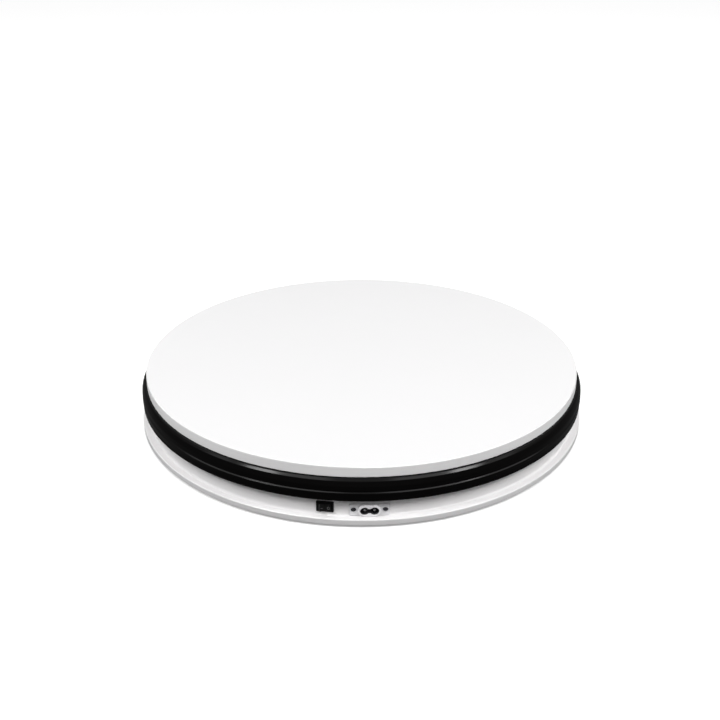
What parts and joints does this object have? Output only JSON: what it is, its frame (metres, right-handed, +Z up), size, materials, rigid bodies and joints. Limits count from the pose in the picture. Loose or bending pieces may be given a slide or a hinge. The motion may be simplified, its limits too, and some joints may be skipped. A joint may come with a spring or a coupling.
{
  "type": "turntable display stand",
  "caption": "Low motor-driven round turntable that slowly turns an object for display or photography, with a mains inlet and a rocker switch on its base.",
  "frame": {"origin": "on the surface it stands on, under the centre of the platter", "axes": "+Z up along the platter's spin axis, the switch and the mains inlet face -Y, +X to their right"},
  "size_m": [0.452, 0.452, 0.058],
  "materials": {
    "base_plastic": "satin moulded white",
    "plate_plastic": "matt white",
    "trim_plastic": "semi-gloss black",
    "foot_rubber": "matt black rubber",
    "zinc_screw": "bright zinc",
    "motor_steel": "zinc-plated drawn can",
    "gearbox_steel": "zinc-plated",
    "bracket_steel": "zinc-plated sheet",
    "shaft_steel": "ground steel",
    "inlet_plastic": "satin white",
    "contact_brass": "nickel-plated brass",
    "inlet_screw_steel": "nickel-plated",
    "switch_plastic": "satin black",
    "rocker_plastic": "satin black",
    "live_lead": "brown insulation",
    "neutral_lead": "blue insulation",
    "clip_nylon": "natural nylon",
    "track_steel": "rolled strip",
    "hub_aluminium": "turned",
    "roller_nylon": "natural nylon",
    "roller_tread": "grey-black tread"
  },
  "bodies": {
    "base": {"base_shell": "base_plastic", "foot_screws": "zinc_screw", "motor_can": "motor_steel", "motor_gearbox": "gearbox_steel", "motor_bridge": "bracket_steel", "motor_screws": "zinc_screw", "motor_nuts": "zinc_screw", "bridge_screws": "zinc_screw", "inlet_body": "inlet_plastic", "inlet_contacts": "contact_brass", "inlet_screws": "inlet_screw_steel", "inlet_nuts": "inlet_screw_steel", "switch_body": "switch_plastic", "switch_terminals": "contact_brass", "lead_inlet_to_switch": "live_lead", "lead_switch_to_motor": "live_lead", "lead_inlet_to_motor": "neutral_lead", "cable_clips": "clip_nylon", "axle_clips": "shaft_steel", "bracket_screws": "zinc_screw", "foot_1": "foot_rubber", "foot_2": "foot_rubber", "foot_3": "foot_rubber", "foot_4": "foot_rubber", "foot_5": "foot_rubber", "foot_6": "foot_rubber", "roller_bracket_1": "bracket_steel", "roller_bracket_2": "bracket_steel", "roller_bracket_3": "bracket_steel", "roller_bracket_4": "bracket_steel", "roller_bracket_5": "bracket_steel", "roller_bracket_6": "bracket_steel", "roller_axle_1": "shaft_steel", "roller_axle_2": "shaft_steel", "roller_axle_3": "shaft_steel", "roller_axle_4": "shaft_steel", "roller_axle_5": "shaft_steel", "roller_axle_6": "shaft_steel"},
    "platter": {"top_plate": "plate_plastic", "trim_ring": "trim_plastic", "trim_screws": "zinc_screw", "roller_track": "track_steel", "track_screws": "zinc_screw", "drive_hub": "hub_aluminium", "hub_screws": "zinc_screw", "motor_shaft": "shaft_steel"},
    "rocker": {"switch_rocker": "rocker_plastic"},
    "roller_1": {"roller_hub_1": "roller_nylon", "roller_tyre_1": "roller_tread"},
    "roller_2": {"roller_hub_2": "roller_nylon", "roller_tyre_2": "roller_tread"},
    "roller_3": {"roller_hub_3": "roller_nylon", "roller_tyre_3": "roller_tread"},
    "roller_4": {"roller_hub_4": "roller_nylon", "roller_tyre_4": "roller_tread"},
    "roller_5": {"roller_hub_5": "roller_nylon", "roller_tyre_5": "roller_tread"},
    "roller_6": {"roller_hub_6": "roller_nylon", "roller_tyre_6": "roller_tread"}
  },
  "joints": [
    {"name": "platter_spin", "type": "hinge", "parent": "base", "child": "platter", "pos_m": [0, 0, 0.04], "axis": [0, 0, 1], "continuous": true},
    {"name": "rocker_tilt", "type": "hinge", "parent": "base", "child": "rocker", "pos_m": [-0.032, -0.21564, 0.0162], "axis": [0, 0, -1], "range_deg": [0, 24]},
    {"name": "roller_1_spin", "type": "hinge", "parent": "base", "child": "roller_1", "pos_m": [0.182, 0, 0.0309], "axis": [1, 0, 0], "continuous": true},
    {"name": "roller_2_spin", "type": "hinge", "parent": "base", "child": "roller_2", "pos_m": [0.091, 0.15762, 0.0309], "axis": [0.5, 0.866, 0], "continuous": true},
    {"name": "roller_3_spin", "type": "hinge", "parent": "base", "child": "roller_3", "pos_m": [-0.091, 0.15762, 0.0309], "axis": [-0.5, 0.866, 0], "continuous": true},
    {"name": "roller_4_spin", "type": "hinge", "parent": "base", "child": "roller_4", "pos_m": [-0.182, 0, 0.0309], "axis": [-1, 0, 0], "continuous": true},
    {"name": "roller_5_spin", "type": "hinge", "parent": "base", "child": "roller_5", "pos_m": [-0.091, -0.15762, 0.0309], "axis": [-0.5, -0.866, 0], "continuous": true},
    {"name": "roller_6_spin", "type": "hinge", "parent": "base", "child": "roller_6", "pos_m": [0.091, -0.15762, 0.0309], "axis": [0.5, -0.866, 0], "continuous": true}
  ],
  "couplings": [
    {"joint": "roller_1_spin", "follows": "platter_spin", "ratio": -12.133},
    {"joint": "roller_2_spin", "follows": "platter_spin", "ratio": -12.133},
    {"joint": "roller_3_spin", "follows": "platter_spin", "ratio": -12.133},
    {"joint": "roller_4_spin", "follows": "platter_spin", "ratio": -12.133},
    {"joint": "roller_5_spin", "follows": "platter_spin", "ratio": -12.133},
    {"joint": "roller_6_spin", "follows": "platter_spin", "ratio": -12.133}
  ]
}
